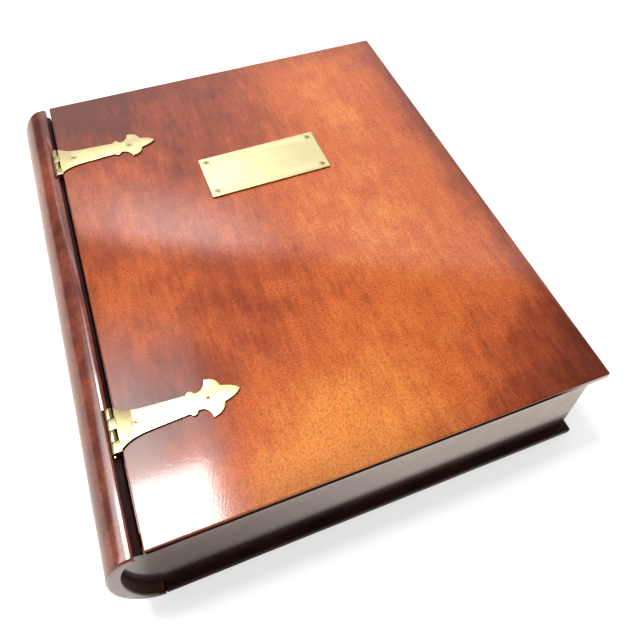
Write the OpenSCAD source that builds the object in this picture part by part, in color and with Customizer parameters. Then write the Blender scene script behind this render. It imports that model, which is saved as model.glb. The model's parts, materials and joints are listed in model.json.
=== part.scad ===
// Photo storage box made like a bound book, lying on its back cover.
// +X points from the hinge edge to the fore edge, +Y from the tail to the head, +Z up.
// The origin is the middle of the resting face, under the middle of the whole box.

/* [Covers] */
// Width of both covers, from the hinge edge to the fore edge
cover_w = 240; // [200:5:300]
// Length of both covers along the spine
cover_l = 320; // [280:5:380]
// Thickness of a finished cover, leather and lining included
cover_t = 4.8; // [4.2:0.1:8]
// Height of the closed box, from the table to the top of the lid
box_h = 72; // [55:1:100]
// Thickness of the leather
leather_t = 0.8; // [0.5:0.1:1]
// Radius of the covers' worn leather edges
edge_round = 1.2; // [0.5:0.1:1.6]
// Radius of the covers' corners, seen from above
corner_round = 2; // [1.2:0.1:4]
// How far the leather is turned in under the lid
turn_in = 14; // [8:1:20]

/* [Tray] */
// Border of the covers that stands out past the walls
border_w = 4.5; // [3:0.5:8]
// Thickness of the four tray walls
wall_t = 6; // [4:0.5:8]
// Thickness of the lining sheets
lining_t = 0.8; // [0.5:0.1:1]
// Gap between the closed lid and the top of the walls
lid_clear = 0.3; // [0.2:0.1:0.6]

/* [Spine] */
// How far the spine bulges past the covers' hinge edge
spine_bulge = 23.6; // [18:0.2:30]
// How far the spine's top lies under the lid's top
spine_drop = 0.6; // [0.2:0.1:1.5]
// Height of the spine's lowest line over the table
spine_rise = 1.9; // [1:0.1:3]
// How much longer than the covers the spine is, at each end
spine_proud = 1; // [0:0.5:2]
// Thickness of the spine shell at its middle, leather included
spine_mid_t = 7; // [5:0.5:9]
// Thickness of the spine shell at its two long edges, leather included
spine_lip_t = 3; // [2.5:0.1:4]
// Gap between the end walls' rounded end and the spine shell
block_clear = 0.8; // [0.5:0.1:1.5]
// How far the end walls' rounded end drops at the hinge gap
block_drop = 6.4; // [5.8:0.1:8]

/* [Hinges] */
// Width of the gap between the lid and the spine
hinge_gap = 4.8; // [4.6:0.1:6]
// Distance from the tail end of the covers to the middle of the near hinge
near_hinge_at = 61; // [40:1:100]
// Distance from the head end of the covers to the middle of the far hinge
far_hinge_at = 59; // [40:1:100]
// Outer radius of the hinge barrel
barrel_r = 1.9; // [1.7:0.05:2]
// Radius of the hinge pin
pin_r = 0.9; // [0.7:0.05:1]
// Radial clearance of the pin in the knuckles
pin_fit = 0.05; // [0.02:0.01:0.1]
// Length of the hinge barrel, four knuckles in all
barrel_l = 24.8; // [22:0.2:30]
// Gap between two knuckles
knuckle_gap = 0.15; // [0.1:0.05:0.3]
// Thickness of the strap that lies on the lid
strap_t = 1.1; // [0.8:0.1:1.4]
// Length of the strap from the lid's edge to its tip
strap_l = 61; // [58:1:70]
// Thickness of the leaf that goes down behind the spine
leaf_t = 1; // [0.8:0.1:1.2]
// Height of the leaf under the hinge axis
leaf_h = 22; // [18:1:28]

/* [Name plate] */
// Width of the blank name plate
plate_w = 78; // [50:1:100]
// Height of the blank name plate
plate_h = 36; // [24:1:50]
// Thickness of the name plate
plate_t = 1.2; // [0.8:0.1:1.6]
// Distance from the lid's hinge edge to the middle of the plate
plate_at_x = 122; // [118:1:145]
// Distance from the tail end of the lid to the middle of the plate
plate_at_y = 212.7; // [180:0.1:230]
// Turn of the hand-fitted plate in degrees
plate_turn = 0.7; // [-2:0.1:2]
// Distance of the plate's screws from its edges
plate_inset = 4.2; // [3:0.1:6]

/* [Screws] */
// Radius of a screw head
head_r = 1.9; // [1.5:0.05:2.1]
// Height of a countersunk screw head
head_h = 0.9; // [0.7:0.05:1]
// Radius of a screw shank
shank_r = 0.8; // [0.6:0.05:0.9]
// Length of a lid screw, head included
lid_screw_l = 4; // [3:0.1:4.2]
// Length of a leaf screw, head included
leaf_screw_l = 5.5; // [4:0.1:6]
// Clearance around a screw in its hole
screw_fit = 0.05; // [0.02:0.01:0.1]

/* [Hidden] */
$fn = 48;
eps = 0.01;

// Colours
leather_c = [0.52, 0.22, 0.12];
dark_leather_c = [0.24, 0.11, 0.08];
board_c = [0.66, 0.52, 0.36];
lining_c = [0.42, 0.13, 0.13];
brass_c = [0.86, 0.76, 0.45];

// Covers: the hinge edge, the fore edge, the two ends and the levels
edge_x = (spine_bulge - cover_w) / 2;
fore_x = edge_x + cover_w;
end_y = cover_l / 2;
lid_z = box_h - cover_t;
base_reach = 5;
base_x = edge_x - base_reach;

// Tray: the outer faces of the walls, their inner faces and their levels
wall_z = cover_t;
wall_top = lid_z - lid_clear;
wall_x = fore_x - border_w;
wall_y = end_y - border_w;
tray_x = wall_x - wall_t;
tray_y = wall_y - wall_t;

// Hinge axis, in the middle of the gap, with the strap tangent to the barrel's top
axis_x = edge_x - hinge_gap / 2;
axis_z = box_h + strap_t - barrel_r;
leaf_x = axis_x - barrel_r;
spine_wall_x = leaf_x + leaf_t;
tray_x0 = spine_wall_x + wall_t;
near_y = near_hinge_at - end_y;
far_y = end_y - far_hinge_at;
knuckle_l = barrel_l / 4;
bore_r = pin_r + pin_fit;

// Spine: one half ellipse outside, another inside, and lips beside the two covers
spine_set = 2.5;
spine_x = edge_x - spine_set;
spine_a = spine_bulge - spine_set;
spine_b = (box_h - spine_drop - spine_rise) / 2;
spine_z = spine_rise + spine_b;
hollow_a = spine_a - spine_mid_t;
hollow_b = spine_b - spine_lip_t;
top_lip_x = edge_x - hinge_gap;
lip_round = 1.2;
spine_half_l = end_y + spine_proud;
spine_steps = 40;

// End walls' rounded end, inside the spine shell
block_x = edge_x + 1;
block_a = block_x - (spine_x - hollow_a) - block_clear;
block_b_top = box_h - block_drop - spine_z;
block_b_low = spine_z - wall_z;
block_steps = 20;

// Strap on the lid: where its screws sit, counted from the lid's edge
strap_screws_at = [8.8, strap_l - 16.5];
strap_root = barrel_l / 2 - 0.2;
curve_steps = 8;

// Leaf: its screws
leaf_screw_y = barrel_l * 0.3;
leaf_screw_z = axis_z - leaf_h * 0.64;

// Name plate
plate_x = edge_x + plate_at_x;
plate_y = plate_at_y - end_y;
plate_screws_at = [
    for (sx = [-1, 1], sy = [-1, 1])
        [sx * (plate_w / 2 - plate_inset), sy * (plate_h / 2 - plate_inset)]
];

// Points on an ellipse between two angles
function arc_points(cx, cz, a, b, from, to, steps) = [
    for (i = [0:steps])
        let (t = from + (to - from) * i / steps)
            [cx + a * cos(t), cz + b * sin(t)]
];

// Points on a curve from p to r that is pulled towards q
function bend_points(p, q, r) = [
    for (i = [0:curve_steps])
        let (t = i / curve_steps)
            p * (1 - t) * (1 - t) + q * 2 * t * (1 - t) + r * t * t
];

// Angle at which an ellipse about the spine's middle line reaches x on its upper half
function angle_at(x, a) = acos((x - spine_x) / a);

// Outline of the spine's section, with its outer faces set in by the given depth
function spine_points(inset) =
    let (
        a = spine_a - inset,
        b = spine_b - inset,
        lip_x = top_lip_x - inset,
        foot_x = base_x - inset,
        round_r = lip_round - inset,
        round_x = lip_x - round_r,
        round_z = spine_z + b * sin(angle_at(round_x, a)) - round_r
    )
    concat(
        arc_points(spine_x, spine_z, a, b, angle_at(round_x, a), 360 - angle_at(foot_x, a), spine_steps),
        arc_points(spine_x, spine_z, hollow_a, hollow_b, 360 - angle_at(foot_x, hollow_a),
            angle_at(lip_x, hollow_a), spine_steps),
        arc_points(round_x, round_z, round_r, round_r, 0, 80, 5)
    );

// Outline of an end wall, with its outer edges set in by the given depth: straight, with a rounded end at the spine
function block_points(inset) = concat(
    [
        [wall_x - inset, wall_z],
        [wall_x - inset, wall_top - inset],
        [block_x, wall_top - inset]
    ],
    arc_points(block_x, spine_z, block_a - inset, block_b_top - inset, 90, 180, block_steps),
    arc_points(block_x, spine_z, block_a - inset, block_b_low, 190, 270, block_steps)
);

// Upper half of the strap's outline, from the lid's edge to the tip
collar_x = strap_l - 24.6;
lobe_x = strap_l - 16.2;
strap_half = concat(
    bend_points([0, strap_root], [4.5, 7.4], [14, 6.7]),
    arc_points(collar_x, 5, 1.95, 1.95, 170, 10, curve_steps),
    bend_points([lobe_x - 5.8, 4.9], [lobe_x - 1.2, 4.6], [lobe_x, 11]),
    bend_points([lobe_x, 11], [lobe_x + 6.2, 10.4], [lobe_x + 7.2, 4.9]),
    bend_points([lobe_x + 7.3, 4.8], [strap_l - 2.5, 3.4], [strap_l, 0])
);
strap_points = concat(
    strap_half,
    [for (i = [len(strap_half) - 2:-1:0]) [strap_half[i][0], -strap_half[i][1]]]
);

// A flat outline in x and z, carried along y to both sides of the middle
module along_y(half_l) {
    rotate([90, 0, 0])
        linear_extrude(2 * half_l, center = true)
            children();
}

// A block between two corners
module block(low, high) {
    translate(low)
        cube(high - low);
}

// A rectangle with rounded corners, from the origin
module round_rectangle(w, h, r) {
    translate([r, 0])
        square([w - 2 * r, h]);
    translate([0, r])
        square([w, h - 2 * r]);
    for (x = [r, w - r], y = [r, h - r])
        translate([x, y])
            circle(r);
}

// A finished cover: a slab with rounded edges and corners, from x0 to the fore edge
module cover_slab(x0, z0) {
    translate([x0, -end_y, z0])
        intersection() {
            linear_extrude(cover_t)
                round_rectangle(fore_x - x0, cover_l, corner_round);
            translate([0, end_y, 0])
                along_y(end_y)
                    round_rectangle(fore_x - x0, cover_t, edge_round);
            rotate([90, 0, 90])
                linear_extrude(fore_x - x0)
                    round_rectangle(cover_l, cover_t, edge_round);
        }
}

// The board inside a cover, smaller than the cover by its leather
module cover_board(x0, z0) {
    translate([x0 + leather_t, -end_y + leather_t, z0 + leather_t])
        linear_extrude(cover_t - 2 * leather_t)
            round_rectangle(fore_x - x0 - 2 * leather_t, cover_l - 2 * leather_t, corner_round - leather_t);
}

// A countersunk cross-head screw pointing down, its head's top at z = 0
module screw(length) {
    difference() {
        union() {
            translate([0, 0, -head_h])
                cylinder(h = head_h, r1 = shank_r, r2 = head_r);
            translate([0, 0, -length])
                cylinder(h = length - head_h + eps, r = shank_r);
        }
        for (turn = [45, 135])
            rotate(turn)
                translate([-head_r * 0.6, -head_r * 0.12, -head_h * 0.5])
                    cube([head_r * 1.2, head_r * 0.24, head_h]);
    }
}

// The hole for such a screw
module screw_hole(length) {
    translate([0, 0, -head_h])
        cylinder(h = head_h, r1 = shank_r + screw_fit, r2 = head_r + screw_fit);
    translate([0, 0, -length - screw_fit])
        cylinder(h = length + screw_fit, r = shank_r + screw_fit);
    translate([0, 0, -eps])
        cylinder(h = 1, r = head_r + screw_fit);
}

// Children at each screw of a strap, with the strap's middle at y
module at_strap_screws(y) {
    for (x = strap_screws_at)
        translate([edge_x + x, y, box_h + strap_t])
            rotate(x * 7)
                children();
}

// Children at each screw of a leaf, pointing towards the tray
module at_leaf_screws(y) {
    for (side = [-1, 1])
        translate([leaf_x, y + side * leaf_screw_y, leaf_screw_z])
            rotate([0, -90, 0])
                children();
}

// Children at the name plate's place, and at each of its screws
module at_plate() {
    translate([plate_x, plate_y, box_h])
        rotate(plate_turn)
            children();
}
module at_plate_screws() {
    at_plate()
        for (p = plate_screws_at)
            translate([p[0], p[1], plate_t])
                rotate(p[0] + 3 * p[1])
                    children();
}

// One knuckle of a hinge with its middle at y, counted from the tail
module knuckle(y, index) {
    translate([axis_x, y - barrel_l / 2 + index * knuckle_l + knuckle_gap / 2, axis_z])
        rotate([-90, 0, 0])
            cylinder(h = knuckle_l - knuckle_gap, r = barrel_r);
}
module pin_hole(y) {
    translate([axis_x, y - barrel_l / 2 - 1, axis_z])
        rotate([-90, 0, 0])
            cylinder(h = barrel_l + 2, r = bore_r);
}

// A block beside a knuckle, from x0 to x1 and z0 to z1, that joins it to its leaf
module knuckle_root(y, index, x0, x1, z0, z1) {
    y0 = y - barrel_l / 2 + index * knuckle_l + knuckle_gap / 2;
    block([x0, y0, z0], [x1, y0 + knuckle_l - knuckle_gap, z1]);
}

module base_board() {
    color(board_c)
        cover_board(base_x, 0);
}

module base_leather() {
    color(dark_leather_c)
        difference() {
            cover_slab(base_x, 0);
            cover_board(base_x, 0);
            block([tray_x0, -tray_y, cover_t / 2], [tray_x, tray_y, cover_t + 1]);
        }
}

module floor_lining() {
    color(lining_c)
        block([tray_x0, -tray_y, cover_t - leather_t], [tray_x, tray_y, cover_t - leather_t + lining_t]);
}

// An end wall on the given side, with its outer face and edges set in by the given depth
module end_wall_shape(side, inset) {
    half_t = (wall_t - inset) / 2;
    translate([0, side * (tray_y + half_t), 0])
        along_y(half_t)
            polygon(block_points(inset));
}

module end_wall(side) {
    color(board_c)
        end_wall_shape(side, leather_t);
}

module tail_wall() {
    end_wall(-1);
}

module head_wall() {
    end_wall(1);
}

module fore_edge_wall() {
    color(board_c)
        block([tray_x, -tray_y, wall_z], [wall_x - leather_t, tray_y, wall_top - leather_t]);
}

module spine_wall() {
    color(board_c)
        difference() {
            block([spine_wall_x, -tray_y, wall_z], [tray_x0, tray_y, wall_top - leather_t]);
            at_leaf_screws(near_y)
                screw_hole(leaf_screw_l);
            at_leaf_screws(far_y)
                screw_hole(leaf_screw_l);
        }
}

// Leather over the outside, the rounded ends and the top of the walls
module wall_leather() {
    color(dark_leather_c)
        difference() {
            union() {
                end_wall_shape(-1, 0);
                end_wall_shape(1, 0);
                block([tray_x, -tray_y, wall_z], [wall_x, tray_y, wall_top]);
                block([spine_wall_x, -tray_y, wall_top - leather_t], [tray_x0, tray_y, wall_top]);
            }
            end_wall_shape(-1, leather_t);
            end_wall_shape(1, leather_t);
            block([tray_x, -tray_y, wall_z], [wall_x - leather_t, tray_y, wall_top - leather_t]);
        }
}

// Lining sheets stand on the floor lining and end level with the walls
lining_z = cover_t - leather_t + lining_t;

module end_wall_lining(side) {
    color(lining_c)
        translate([0, side * (tray_y - lining_t / 2), 0])
            block([tray_x0, -lining_t / 2, lining_z], [tray_x, lining_t / 2, wall_top]);
}

module tail_wall_lining() {
    end_wall_lining(-1);
}

module head_wall_lining() {
    end_wall_lining(1);
}

module side_wall_lining(x0) {
    color(lining_c)
        block([x0, -tray_y + lining_t, lining_z], [x0 + lining_t, tray_y - lining_t, wall_top]);
}

module fore_edge_wall_lining() {
    side_wall_lining(tray_x - lining_t);
}

module spine_wall_lining() {
    side_wall_lining(tray_x0);
}

module spine_shell() {
    color(board_c)
        along_y(spine_half_l - leather_t)
            polygon(spine_points(leather_t));
}

module spine_leather() {
    color(leather_c)
        difference() {
            along_y(spine_half_l)
                polygon(spine_points(0));
            along_y(spine_half_l - leather_t)
                polygon(spine_points(leather_t));
        }
}

// Holes in the lid for the screws of both straps and of the name plate
module lid_holes() {
    at_strap_screws(near_y)
        screw_hole(lid_screw_l);
    at_strap_screws(far_y)
        screw_hole(lid_screw_l);
    at_plate_screws()
        screw_hole(lid_screw_l);
}

module lid_board() {
    color(board_c)
        difference() {
            cover_board(edge_x, lid_z);
            lid_holes();
        }
}

module lid_leather() {
    color(leather_c)
        difference() {
            cover_slab(edge_x, lid_z);
            cover_board(edge_x, lid_z);
            block([edge_x + turn_in, -end_y + turn_in, lid_z - 1],
                [fore_x - turn_in, end_y - turn_in, lid_z + cover_t / 2]);
            lid_holes();
        }
}

module lid_lining() {
    color(lining_c)
        block([edge_x + turn_in, -end_y + turn_in, lid_z + leather_t - lining_t],
            [fore_x - turn_in, end_y - turn_in, lid_z + leather_t]);
}

// The strap leaf: a plate on the lid with the two knuckles that turn with it
module hinge_strap(y) {
    color(brass_c)
        difference() {
            union() {
                translate([edge_x, y, box_h])
                    linear_extrude(strap_t)
                        polygon(strap_points);
                for (index = [0, 2]) {
                    knuckle(y, index);
                    knuckle_root(y, index, axis_x, edge_x + eps, box_h, box_h + strap_t);
                }
            }
            pin_hole(y);
            at_strap_screws(y)
                screw_hole(lid_screw_l);
        }
}

// The hidden leaf: a plate down the outside of the tray's spine wall, with two fixed knuckles
module hinge_leaf(y) {
    leaf_top = axis_z - barrel_r - 0.5;
    color(brass_c)
        difference() {
            union() {
                block([leaf_x, y - barrel_l / 2, axis_z - leaf_h], [leaf_x + leaf_t, y + barrel_l / 2, leaf_top]);
                for (index = [1, 3]) {
                    knuckle(y, index);
                    knuckle_root(y, index, leaf_x, leaf_x + leaf_t, leaf_top - eps, axis_z);
                }
            }
            pin_hole(y);
            at_leaf_screws(y)
                screw_hole(leaf_screw_l);
        }
}

module hinge_pin(y) {
    color(brass_c)
        translate([axis_x, y - barrel_l / 2, axis_z])
            rotate([-90, 0, 0])
                cylinder(h = barrel_l, r = pin_r);
}

module strap_screws(y) {
    color(brass_c)
        at_strap_screws(y)
            screw(lid_screw_l);
}

module leaf_screws(y) {
    color(brass_c)
        at_leaf_screws(y)
            screw(leaf_screw_l);
}

module near_hinge_strap() {
    hinge_strap(near_y);
}

module near_hinge_leaf() {
    hinge_leaf(near_y);
}

module near_hinge_pin() {
    hinge_pin(near_y);
}

module near_strap_screws() {
    strap_screws(near_y);
}

module near_leaf_screws() {
    leaf_screws(near_y);
}

module far_hinge_strap() {
    hinge_strap(far_y);
}

module far_hinge_leaf() {
    hinge_leaf(far_y);
}

module far_hinge_pin() {
    hinge_pin(far_y);
}

module far_strap_screws() {
    strap_screws(far_y);
}

module far_leaf_screws() {
    leaf_screws(far_y);
}

module name_plate() {
    color(brass_c)
        difference() {
            at_plate()
                translate([-plate_w / 2, -plate_h / 2, 0])
                    cube([plate_w, plate_h, plate_t]);
            at_plate_screws()
                screw_hole(lid_screw_l);
        }
}

module name_plate_screws() {
    color(brass_c)
        at_plate_screws()
            screw(lid_screw_l);
}

base_board();
base_leather();
floor_lining();
tail_wall();
head_wall();
fore_edge_wall();
spine_wall();
wall_leather();
tail_wall_lining();
head_wall_lining();
fore_edge_wall_lining();
spine_wall_lining();
spine_shell();
spine_leather();
lid_board();
lid_leather();
lid_lining();
near_hinge_strap();
near_hinge_leaf();
near_hinge_pin();
near_strap_screws();
near_leaf_screws();
far_hinge_strap();
far_hinge_leaf();
far_hinge_pin();
far_strap_screws();
far_leaf_screws();
name_plate();
name_plate_screws();
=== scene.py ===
"""Looks of the photo storage box: a leather-covered box shaped like a bound book, with its lid closed."""

import json
import math

import bmesh
import bpy
import numpy as np
from mathutils import Matrix, Vector
from mathutils.geometry import tessellate_polygon


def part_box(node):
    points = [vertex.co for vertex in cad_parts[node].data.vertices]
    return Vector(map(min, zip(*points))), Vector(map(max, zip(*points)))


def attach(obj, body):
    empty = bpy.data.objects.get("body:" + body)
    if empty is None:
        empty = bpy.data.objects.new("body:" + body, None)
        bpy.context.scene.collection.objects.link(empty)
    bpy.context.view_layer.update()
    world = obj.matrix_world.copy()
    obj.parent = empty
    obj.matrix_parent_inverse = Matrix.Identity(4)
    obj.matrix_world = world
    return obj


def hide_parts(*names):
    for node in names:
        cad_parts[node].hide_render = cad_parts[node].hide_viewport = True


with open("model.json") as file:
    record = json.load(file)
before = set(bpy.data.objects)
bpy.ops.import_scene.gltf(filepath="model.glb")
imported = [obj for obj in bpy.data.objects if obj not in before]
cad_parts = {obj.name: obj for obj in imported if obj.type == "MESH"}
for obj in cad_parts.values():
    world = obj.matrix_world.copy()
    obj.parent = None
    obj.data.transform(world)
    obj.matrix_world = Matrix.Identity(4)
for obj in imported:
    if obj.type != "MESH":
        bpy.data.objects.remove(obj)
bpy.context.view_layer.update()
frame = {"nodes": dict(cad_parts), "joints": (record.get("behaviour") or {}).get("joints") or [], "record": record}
MM = 0.001


def add_camera():
    """The photograph's viewpoint, from its own perspective: position, turn, lens and a small shift."""
    data = bpy.data.cameras.new("photo_view")
    data.sensor_width = 36.0
    data.lens = 35.756
    data.shift_x = -0.0389
    data.shift_y = -0.0155
    right = (0.9274352, -0.3735775, 0.0174285)
    down = (-0.295627, -0.7608663, -0.5776566)
    ahead = (0.2290603, 0.5305868, -0.8160938)
    place = (-0.060055, -0.257348, 0.354634)
    turn = Matrix((right, [-v for v in down], [-v for v in ahead])).transposed().to_4x4()
    camera = bpy.data.objects.new("photo_view", data)
    camera.matrix_world = Matrix.Translation(place) @ turn
    bpy.context.scene.collection.objects.link(camera)
    bpy.context.scene.camera = camera


add_camera()


# Sizes read from the frame, in metres

def reach(node):
    """Lowest and highest corner of a node, as two arrays."""
    low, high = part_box(node)
    return np.array(low), np.array(high)


def middle_y(node):
    """The middle of a node along the spine."""
    low, high = reach(node)
    return (low[1] + high[1]) / 2


lid_low, lid_high = reach("lid_leather")
base_low, base_high = reach("base_leather")
spine_low, spine_high = reach("spine_leather")
plate_low, plate_high = reach("name_plate")
axis_x, _, axis_z = frame["joints"][0]["pos_m"]
hinges = {end: middle_y(end + "_hinge_strap") for end in ("near", "far")}

LID_LEFT = float(lid_low[0])
LID_RIGHT = float(lid_high[0])
LID_TOP = float(lid_high[2])
PLATE_TOP = float(plate_high[2])
STRAP_TOP = float(reach("near_hinge_strap")[1][2])
STRAP_T = STRAP_TOP - LID_TOP

# the covers' leather
COVER_CORNER = 0.9 * MM  # radius of a corner seen from above

# the spine's section: half ellipses round one centre, outside and in its hollow, and the lip beside the joint
SPINE_X = lid_low[0] - 2.5 * MM
SPINE_Z = (spine_high[2] + spine_low[2]) / 2
SPINE_A = SPINE_X - spine_low[0]
SPINE_B = (spine_high[2] - spine_low[2]) / 2
HOLLOW_A = SPINE_A - 7 * MM
HOLLOW_B = SPINE_B - 3 * MM
CREST = SPINE_Z + SPINE_B
LIP_X = spine_high[0]
LIP_R = 1.2 * MM
SPINE_STEPS = 60  # points along each half of the outer line

# the hinges: a barrel of four knuckles round the lid's axis
BARREL_R = LID_TOP + STRAP_T - axis_z
KNUCKLE = 6.2 * MM
KNUCKLE_GAP = 0.15 * MM
KNUCKLE_ROUND = 0.22 * MM
BARREL_STEPS = 40
LEAF_X = axis_x - BARREL_R
LEAF_T = 1 * MM
HINGE_ROOM = 13.1 * MM  # what the joint's leather leaves free on either side of a hinge's middle
STRAP_L = 61.0  # mm
STRAP_SCREWS = (8.8, 44.5)  # mm from the lid's edge

# the plate
PLATE_HALF = np.array([39.0, 18.0]) * MM
PLATE_TURN = math.radians(0.7)
PLATE_INSET = 4.2 * MM  # of its screws from its sides

# screws and their holes: mm from the axis and below the plate's or the strap's top
HOLE = ((2.04, 0.0), (2.01, 0.03), (1.95, 0.34), (0.86, 0.92))
HOLE_POINTS = 32
HEAD_R = 1.70
HEAD_DOME = 0.10
HEAD_RINGS = 20
SCREW_POINTS = 64
SHANK_R = 0.8
SCREW_L = 4.0
CROSS_HALF_WIDTH = 0.32
CROSS_HALF_LENGTH = 1.25
CROSS_DEPTH = 0.42

# points nearer than the first are merged, and edges shorter than the second dissolved
MERGE_GAP = 2e-6
THIN_EDGE = 1e-7


# Surfaces

def make_object(name, points, faces, crease_deg):
    """A mesh object from an array of points and a list of face index tuples, with its doubles merged. It is
    smooth but for the edges where its faces meet at more than crease_deg.
    """
    mesh = bpy.data.meshes.new(name)
    mesh.from_pydata(points.tolist(), [], faces)
    mesh.update()
    made = bpy.data.objects.new(name, mesh)
    bpy.context.scene.collection.objects.link(made)
    work = bmesh.new()
    work.from_mesh(mesh)
    bmesh.ops.remove_doubles(work, verts=work.verts, dist=MERGE_GAP)
    bmesh.ops.dissolve_degenerate(work, edges=work.edges, dist=THIN_EDGE)
    bmesh.ops.recalc_face_normals(work, faces=work.faces)
    work.to_mesh(mesh)
    work.free()
    mesh.shade_smooth()
    mesh.set_sharp_from_angle(angle=math.radians(crease_deg))
    return made


def ring_faces(rings, per_ring):
    """Index quads between closed rings of equally many points, each ring joined to the next."""
    r = np.arange(rings - 1)[:, None] * per_ring
    here = np.arange(per_ring)[None, :]
    beside = (here + 1) % per_ring
    quads = np.stack([r + here, r + beside, r + per_ring + beside, r + per_ring + here], axis=-1)
    return [tuple(quad) for quad in quads.reshape(-1, 4)]


def round_rectangle_ring(x0, x1, y0, y1, inset, radius, per_side, per_corner):
    """Points round a rectangle set in by inset: straight sides evenly spaced, corners as quarter circles."""
    x0, x1, y0, y1 = x0 + inset, x1 - inset, y0 + inset, y1 - inset
    radius = max(min(radius, (x1 - x0) / 2, (y1 - y0) / 2), 0.0)
    corners = [(x1 - radius, y1 - radius, 0), (x0 + radius, y1 - radius, 90),
               (x0 + radius, y0 + radius, 180), (x1 - radius, y0 + radius, 270)]
    parts = []
    for i, (cx, cy, start) in enumerate(corners):
        turn = np.radians(start + np.linspace(0, 90, per_corner))
        arc = np.stack([cx + radius * np.cos(turn), cy + radius * np.sin(turn)], axis=1)
        next_x, next_y, next_start = corners[(i + 1) % 4]
        next_turn = math.radians(next_start)
        leave = arc[-1]
        meet = np.array([next_x + radius * math.cos(next_turn), next_y + radius * math.sin(next_turn)])
        share = np.linspace(0, 1, per_side + 2)[1:-1, None]
        parts += [arc, leave + (meet - leave) * share]
    return np.concatenate(parts)


def cover_skin(name, low, high, edge, turn_in, recess_up, seed):
    """The leather round a cover board. Rings of a rounded rectangle follow the skin's profile: from the
    turned-in end over the face and a quarter circle of radius edge, up the side, over another quarter circle
    and on to the middle line. Near the edges the rings are pulled in by a slow sum of sines, as hand-pared
    leather wanders.
    """
    x0, y0, z0 = low
    x1, y1, z1 = high
    tall = z1 - z0
    wide = min(x1 - x0, y1 - y0) / 2
    quarter = np.radians(np.linspace(0, 90, 7))
    profile = [(turn_in, 0.55 * MM), (turn_in, 0.15 * MM), (turn_in - 0.15 * MM, 0.0)]
    profile += [(turn_in * share, 0.0) for share in (0.8, 0.5, 0.25)]
    profile += [(edge * (1 - math.sin(a)), edge * (1 - math.cos(a))) for a in quarter]
    profile += [(0.0, tall * share) for share in (0.4, 0.5, 0.6)]
    profile += [(edge * (1 - math.cos(a)), tall - edge * (1 - math.sin(a))) for a in quarter]
    profile += [(edge + (wide - edge) * share, tall) for share in (0.01, 0.03, 0.08, 0.2, 0.4, 0.7, 1.0)]
    rings = []
    for inset, rise in profile:
        radius = COVER_CORNER - inset if inset < COVER_CORNER * 0.7 else 0.3 * COVER_CORNER
        ring = round_rectangle_ring(x0, x1, y0, y1, inset, radius, per_side=60, per_corner=9)
        rings.append(np.column_stack([ring, np.full(len(ring), z0 + rise)]))
    grid = np.stack(rings)

    along = np.linspace(0, 2 * np.pi, grid.shape[1], endpoint=False)
    waves = np.sin(5 * along + seed) + 0.6 * np.sin(13 * along + 2 * seed) + 0.4 * np.sin(29 * along - seed)
    wander = np.abs(waves * 0.05 * MM)
    middle = np.array([(x0 + x1) / 2, (y0 + y1) / 2])
    half = np.array([(x1 - x0) / 2, (y1 - y0) / 2])
    for ring, (inset, _) in zip(grid, profile):
        outward = ring[:, :2] - middle
        size = np.abs(outward) / half
        on_x_side = (size[:, 0] > size[:, 1])[:, None]
        direction = np.where(on_x_side, [1.0, 0.0], [0.0, 1.0]) * np.sign(outward)
        near_edge = max(0.0, 1 - inset / (4 * edge))
        ring[:, :2] -= direction * (wander * near_edge)[:, None]
    if recess_up:
        grid[:, :, 2] = z0 + z1 - grid[:, :, 2]
    faces = ring_faces(*grid.shape[:2])
    faces.append(tuple(range(grid.shape[1])))
    return make_object(name, grid.reshape(-1, 3), faces, crease_deg=50)


def spine_outline(inset):
    """Outer line of the spine from its top lip to its foot, set in by inset: a small quarter-round lip, a
    flat crest, a quarter of an ellipse down to the side and another one, a little wider, from there to the
    foot.
    """
    flat = 0.2 * SPINE_A
    lip = np.radians(np.linspace(-75, 90, 14))
    lip_line = np.stack([LIP_X - LIP_R + LIP_R * np.cos(lip), CREST - LIP_R + LIP_R * np.sin(lip)], axis=1)
    level = np.stack([np.linspace(LIP_X - LIP_R, SPINE_X - flat, 6)[1:-1], np.full(4, CREST)], axis=1)
    fall = np.linspace(np.pi / 2, np.pi, SPINE_STEPS)
    upper = np.stack([SPINE_X - flat + (SPINE_A - flat) * np.cos(fall),
                      SPINE_Z + SPINE_B * np.sin(fall)], axis=1)
    foot = math.acos((base_low[0] - SPINE_X) / SPINE_A)
    turn = np.linspace(np.pi, 2 * np.pi - foot, SPINE_STEPS)[1:]
    under = np.stack([SPINE_X + SPINE_A * np.cos(turn), SPINE_Z + SPINE_B * np.sin(turn)], axis=1)
    line = np.concatenate([lip_line, level, upper, under])
    if inset:
        step = np.gradient(line, axis=0)
        step /= np.linalg.norm(step, axis=1, keepdims=True)
        line = line + np.column_stack([-step[:, 1], step[:, 0]]) * inset
    return line


def hollow_outline(inset, steps):
    """Inner line of the spine, in the same direction, as a half ellipse that may lie inside the shell by
    inset.
    """
    a = HOLLOW_A + inset
    b = HOLLOW_B + inset
    top = math.acos((LIP_X - 0.3 * MM - SPINE_X) / a)
    foot = 2 * np.pi - math.acos((base_low[0] - SPINE_X) / a)
    turn = np.linspace(top, foot, steps)
    return np.stack([SPINE_X + a * np.cos(turn), SPINE_Z + b * np.sin(turn)], axis=1)


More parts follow.
